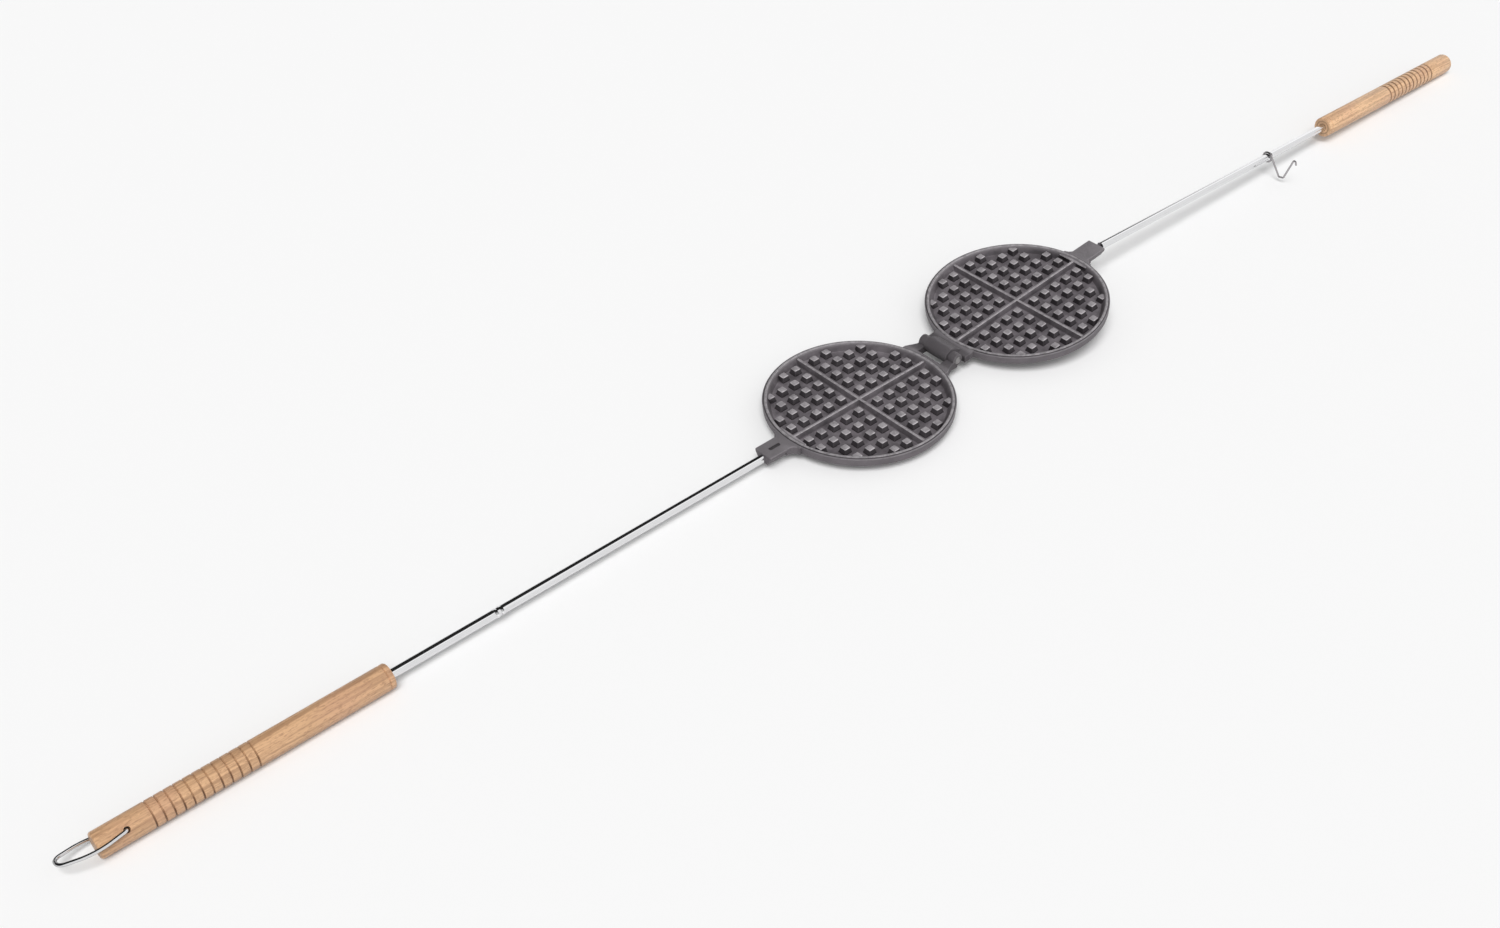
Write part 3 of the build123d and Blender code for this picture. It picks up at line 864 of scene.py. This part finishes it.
class IRON_OT_hinge_pin(bpy.types.Operator):
    """Turns the hinge pin with its domed head and peened tail"""
    bl_idname = "iron.hinge_pin"
    bl_label = "Hinge pin"

    def execute(self, context):
        low, high = pin_low.y, pin_high.y
        head, tail = 0.0038, 0.0036
        turns = [step * pi / 16 for step in range(9)]
        profile = [(0, low)]
        profile += [(head * sin(a), low + (-EAR_OUTER - low) * (1 - cos(a))) for a in turns[1:]]
        profile += [(PIN_RADIUS, -EAR_OUTER), (PIN_RADIUS, EAR_OUTER)]
        profile += [(tail * cos(a), EAR_OUTER + (high - EAR_OUTER) * sin(a)) for a in turns[:-1]]
        profile += [(0, high)]
        pin = turned("hinge_pin_turned", [Vector((x, y, 0)) for x, y in profile],
                     (0, 0, 0), (0, 1, 0), 48)
        finish_piece(pin, Matrix.Translation((hinge.x, 0, hinge.z)), "Pin steel",
                     "near_half", "hinge_pin")
        return {"FINISHED"}


class IRON_OT_rods(bpy.types.Operator):
    """Draws the two plated rods with their pinched ears, and bends the far one"""
    bl_idname = "iron.rods"
    bl_label = "Rods"

    def straight(self, name, rods, start):
        """A rod from its handle end inward to a place, with two pinched ears."""
        rod = started(bpy.ops.mesh.primitive_circle_add, name, vertices=40, radius=ROD_RADIUS,
                      fill_type="NGON", location=(ROD_END, 0, 0), rotation=(0, pi / 2, 0))
        apply_place()
        half_gap, ear = rods.ear_gap / 2, rods.ear_length
        rings = [half_gap - 0.0003, half_gap + 0.0001, half_gap + ear - 0.0001,
                 half_gap + ear + 0.0006]
        places = ([EARS_PLACE + ring for ring in reversed(rings)]
                  + [EARS_PLACE - ring for ring in rings] + [start])
        edit(rod)
        bpy.ops.mesh.select_all(action="SELECT")
        for last, place in zip([ROD_END, *places], places):
            extrude(x=place - last)
        pinched = [EARS_PLACE + side * ring for side in (-1, 1) for ring in rings[1:3]]
        pick(rod, "VERT", lambda c, _: any(abs(c.x - p) < 1e-5 for p in pinched))
        bpy.ops.transform.resize(value=(1, 1, 0.78), center_override=(0, 0, 0))
        for side in (-1, 1):
            pick(rod, "VERT", lambda c, _: any(abs(c.x - p) < 1e-5 for p in pinched)
                 and c.y * side > ROD_RADIUS * 0.55)
            bpy.ops.transform.resize(value=(1, 1, rods.ear_half_thickness / (ROD_RADIUS * 0.65)),
                                     center_override=(0, 0, 0))
            bpy.ops.transform.translate(value=(0, side * (rods.ear_half - ROD_RADIUS), 0))
        return rod

    def execute(self, context):
        rods = context.scene.iron_rods
        near = close_up(self.straight("near_rod_drawn", rods, ROD_START))
        finish_piece(near, near_line, "Chrome near", "near_half", "near_rod", 40)

        bend = tilt + droop
        tangent = BEND_RADIUS * tan(bend / 2)
        bend_end = BEND_PLACE + tangent
        far = self.straight("far_rod_drawn", rods, bend_end)
        pick(far, "FACE", lambda centre, normal: normal.x < -0.9 and centre.x < bend_end + 1e-5)
        bpy.ops.mesh.spin(steps=8, angle=bend, axis=(0, -1, 0), center=(bend_end, 0, -BEND_RADIUS))
        last_run = BEND_PLACE - tangent - ROD_START
        extrude(x=-cos(bend) * last_run, z=-sin(bend) * last_run)
        close_up(far)
        finish_piece(far, far_line, "Chrome far", "far_half", "far_rod", 40)
        return {"FINISHED"}


class IRON_OT_cross_pins(bpy.types.Operator):
    """Gives the pins in the lugs their steel finish"""
    bl_idname = "iron.cross_pins"
    bl_label = "Cross pins"

    def execute(self, context):
        for name in ("near_rod_pin", "far_rod_pin"):
            mesh = frame["nodes"][name].data
            mesh.materials.clear()
            mesh.materials.append(bpy.data.materials["Pin steel"])
        return {"FINISHED"}


class IRON_OT_handles(bpy.types.Operator):
    """Turns the two grooved beech handles, and drills the near one for the loop"""
    bl_idname = "iron.handles"
    bl_label = "Handles"

    def profile(self, handles):
        """From the bottom of the rod's bore, round the outside, to the outer end's middle."""
        radius, bore_end = handles.radius, ROD_END + 0.0004
        points = [(bore_end, 0), (bore_end, ROD_BORE), (WOOD_START + 0.0003, ROD_BORE),
                  (WOOD_START, ROD_BORE + 0.0003), (WOOD_START, radius - 0.0014),
                  (WOOD_START + 0.0003, radius - 0.0006), (WOOD_START + 0.0014, radius)]
        # One shallow groove at the rod's end, then the grip's
        cuts = [(WOOD_START + 0.005, 0.0013, 0.0008)]
        cuts += [(WOOD_END - handles.groove_first - step * handles.groove_pitch,
                  handles.groove_width, handles.groove_depth)
                 for step in reversed(range(handles.groove_count))]
        for place, width, depth in cuts:
            points += [(place + width * share, radius - depth * sink)
                       for share, sink in ((-0.7, 0), (-0.5, 0.1), (-0.15, 0.95), (0, 1),
                                           (0.15, 0.95), (0.5, 0.1), (0.7, 0))]
        points += [(WOOD_END - 0.0016, radius), (WOOD_END - 0.0009, radius - 0.0003),
                   (WOOD_END - 0.0003, radius - 0.0009), (WOOD_END, radius - 0.0016),
                   (WOOD_END, 0)]
        return [Vector((x, 0, z)) for x, z in points]

    def execute(self, context):
        handles = context.scene.iron_handles
        far = turned("far_handle_turned", self.profile(handles), (0, 0, 0), (1, 0, 0), 80)
        near = copied(far, "near_handle_turned")
        middle = Vector((LOOP_HOLE_PLACE, 0, 0))
        reach = Vector((0, cos(hole_tilt), sin(hole_tilt))) * handles.radius * 1.5
        drill(near, middle - reach, middle + reach, LOOP_HOLE_RADIUS, 32)
        finish_piece(near, near_line, "Beech near", "near_half", "near_handle", 30)
        finish_piece(far, far_line, "Beech far", "far_half", "far_handle", 30)
        return {"FINISHED"}


def bent_wire(name, points, radius):
    """Wire of one thickness along a run of points, with rounded ends."""
    wire = drawn(name, points)
    make_active(wire)
    bpy.ops.object.convert(target="CURVE")
    curve = wire.data
    curve.dimensions = "3D"
    curve.bevel_depth = radius
    curve.bevel_resolution = 5
    curve.use_fill_caps = True
    bpy.ops.object.convert(target="MESH")
    edit(wire)
    mesh = bmesh.from_edit_mesh(wire.data)
    bpy.ops.mesh.select_mode(type="FACE")
    bpy.ops.mesh.select_all(action="DESELECT")
    for face in mesh.faces:
        if len(face.verts) > 4:
            face.select_set(True)
    bmesh.update_edit_mesh(wire.data)
    bpy.ops.mesh.region_to_loop()
    bpy.ops.mesh.bevel(offset=radius * 0.35, segments=2, affect="EDGES")
    close_up(wire)
    wire.name = name
    wire.data.name = name
    return wire


class IRON_OT_latch_hook(bpy.types.Operator):
    """Bends the latch hook round the far rod"""
    bl_idname = "iron.latch_hook"
    bl_label = "Latch hook"

    def execute(self, context):
        radius = context.scene.iron_wires.hook_radius
        eye = ROD_RADIUS + 0.0003 + radius
        opening, steps = radians(53), 36
        corners = [mm(0, 18.6, -16.8), mm(0, 24.2, -15.6), mm(0, 33.6, 12.2), mm(0, 36.2, 4.6)]
        low = corners[0]
        leave_turn = atan2(low.z, low.y) + acos(eye / hypot(low.y, low.z))
        arc = [leave_turn + (2 * pi - opening) * (1 - step / steps) for step in range(steps + 1)]
        points = [Vector((0, eye * cos(a), eye * sin(a))) for a in arc]
        points += rounded([points[-1], *corners], (0, 0.0016, 0.0016, 0.0017, 0), 6)[1:]
        hook = bent_wire("latch_hook_bent", [Vector((EARS_PLACE, -p.y, p.z)) for p in points],
                         radius)
        finish_piece(hook, far_line, "Hook wire", "hook", "latch_hook", 60)
        return {"FINISHED"}


class IRON_OT_hanging_loop(bpy.types.Operator):
    """Bends the hanging loop through the near handle"""
    bl_idname = "iron.hanging_loop"
    bl_label = "Hanging loop"

    def execute(self, context):
        radius = context.scene.iron_wires.loop_radius
        out = context.scene.iron_handles.radius + 0.00045 + radius
        corners = [Vector((0, 0.0002, 0)), Vector((0, out, 0)), mm(26, 14.6, -3.2),
                   mm(50.5, 6.5, 1.3), mm(50.5, -6.5, 5.7), mm(26, -14.6, 5.8),
                   Vector((0, -out, 0)), Vector((0, -0.0002, 0))]
        bends = (0, 0.0034, 0.055, 0.008, 0.008, 0.055, 0.0034, 0)
        loop = bent_wire("hanging_loop_bent", rounded(corners, bends, 8), radius)
        loop_frame = (near_line @ Matrix.Translation((LOOP_HOLE_PLACE, 0, 0))
                      @ Matrix.Rotation(hole_tilt, 4, "X"))
        finish_piece(loop, loop_frame, "Bright wire", "loop", "hanging_loop", 60)
        return {"FINISHED"}


class IRON_OT_stage(bpy.types.Operator):
    """Sets the pale floor, the soft light and the camera"""
    bl_idname = "iron.stage"
    bl_label = "Stage"

    def floor(self, stage):
        floor = started(bpy.ops.mesh.primitive_plane_add, "floor", size=30, location=(0, 0, 0))
        tree, shader = new_material("Pale floor")
        path = put(tree, "LightPath").outputs
        seen = math(tree, "MAXIMUM", path["Is Camera Ray"], path["Is Transmission Ray"])
        feed(shader, {"Base Color": rgba(stage.floor_color), "Roughness": 0.9,
                      "Specular IOR Level": 0.1, "Emission Color": (1, 1, 1, 1),
                      "Emission Strength": times(tree, seen, 0.07)})
        floor.data.materials.append(bpy.data.materials["Pale floor"])

    def surroundings(self):
        """White for the camera, plain soft light, and a dark side that bright metal shows."""
        world = bpy.data.worlds.new("Studio")
        world.use_nodes = True
        bpy.context.scene.world = world
        tree = world.node_tree
        tree.nodes.clear()
        path = put(tree, "LightPath").outputs
        camera, mirrored = path["Is Camera Ray"], path["Is Glossy Ray"]
        dark_way = Vector((-0.35, 0.7, 0.62)).normalized()
        toward = put(tree, "VectorMath", {0: put(tree, "TexCoord").outputs["Generated"],
                                          1: dark_way}, operation="DOT_PRODUCT").outputs["Value"]
        dark_side = ramp(tree, toward, 0.32, 0.40, 0.88, 0.02)
        bright_strip = times(tree, band(tree, toward, 0.08, 0.18, 0.26, 0.34), 0.28)
        reflected = times(tree, mirrored, math(tree, "ADD", dark_side, bright_strip))
        rest = math(tree, "SUBTRACT", 1.0, math(tree, "MAXIMUM", mirrored, camera))
        plain = times(tree, rest, ramp(tree, toward, -0.3, 0.8, 0.6, 0.3))
        strength = math(tree, "ADD", camera, math(tree, "ADD", reflected, plain))
        light = put(tree, "Background", {"Color": (1, 1, 1, 1), "Strength": strength})
        put(tree, "OutputWorld", {0: light.outputs[0]})

    def key_light(self):
        """One broad, distant soft light, even all over the floor, that metal doesn't mirror."""
        location = Vector((-3.0, -2.8, 7.2))
        bpy.ops.object.light_add(type="SUN", location=location,
                                 rotation=(-location).to_track_quat("-Z", "Y").to_euler())
        lamp = bpy.context.object
        lamp.name = "key"
        lamp.data.angle = radians(34)
        lamp.data.energy = 2.4
        lamp.visible_glossy = False

    def camera(self, stage):
        """Looks down along the iron from the near handle's side, rolled a little."""
        azimuth, height, roll, distance = -2.2692, 0.6961, -0.0319, 1.58077
        target = Vector((hinge.x - 0.23115, 0.01188, 0))
        away = Vector((cos(height) * cos(azimuth), cos(height) * sin(azimuth), sin(height)))
        right = (-away).cross(Vector((0, 0, 1))).normalized()
        up = right.cross(-away)
        turned_right = right * cos(roll) + up * sin(roll)
        turned_up = up * cos(roll) - right * sin(roll)
        place = Matrix((turned_right, turned_up, away)).transposed().to_4x4()
        place.translation = target + away * distance
        bpy.ops.object.camera_add()
        camera = bpy.context.object
        camera.matrix_world = place
        camera.data.lens = stage.lens
        camera.data.sensor_width = 36
        camera.data.clip_start = 0.01
        bpy.context.scene.camera = camera

    def execute(self, context):
        stage = context.scene.iron_stage
        self.floor(stage)
        self.surroundings()
        self.key_light()
        self.camera(stage)
        context.scene.view_settings.view_transform = "Standard"
        return {"FINISHED"}


class IRON_PT_sidebar(bpy.types.Panel):
    bl_idname = "IRON_PT_sidebar"
    bl_label = "Waffle iron"
    bl_space_type = "VIEW_3D"
    bl_region_type = "UI"
    bl_category = "Waffle iron"

    def draw(self, context):
        for group in settings:
            box = self.layout.box()
            for name in settings[group].__annotations__:
                box.prop(getattr(context.scene, group), name)
        for operator in operators:
            self.layout.operator(operator.bl_idname)


settings = {"iron_plates": PlateSettings, "iron_rods": RodSettings,
            "iron_handles": HandleSettings, "iron_wires": WireSettings,
            "iron_stage": StageSettings}
operators = (IRON_OT_plates, IRON_OT_hinge_pin, IRON_OT_rods, IRON_OT_cross_pins,
             IRON_OT_handles, IRON_OT_latch_hook, IRON_OT_hanging_loop, IRON_OT_stage)


def register():
    for kind in (*settings.values(), *operators, IRON_PT_sidebar):
        bpy.utils.register_class(kind)
    for group, kind in settings.items():
        setattr(bpy.types.Scene, group, PointerProperty(type=kind))


def unregister():
    for group in settings:
        delattr(bpy.types.Scene, group)
    for kind in reversed((*settings.values(), *operators, IRON_PT_sidebar)):
        bpy.utils.unregister_class(kind)


def main():
    register()
    make_materials()
    bpy.ops.iron.plates()
    bpy.ops.iron.hinge_pin()
    bpy.ops.iron.rods()
    bpy.ops.iron.cross_pins()
    bpy.ops.iron.handles()
    bpy.ops.iron.latch_hook()
    bpy.ops.iron.hanging_loop()
    bpy.ops.iron.stage()


if __name__ == "__main__":
    main()
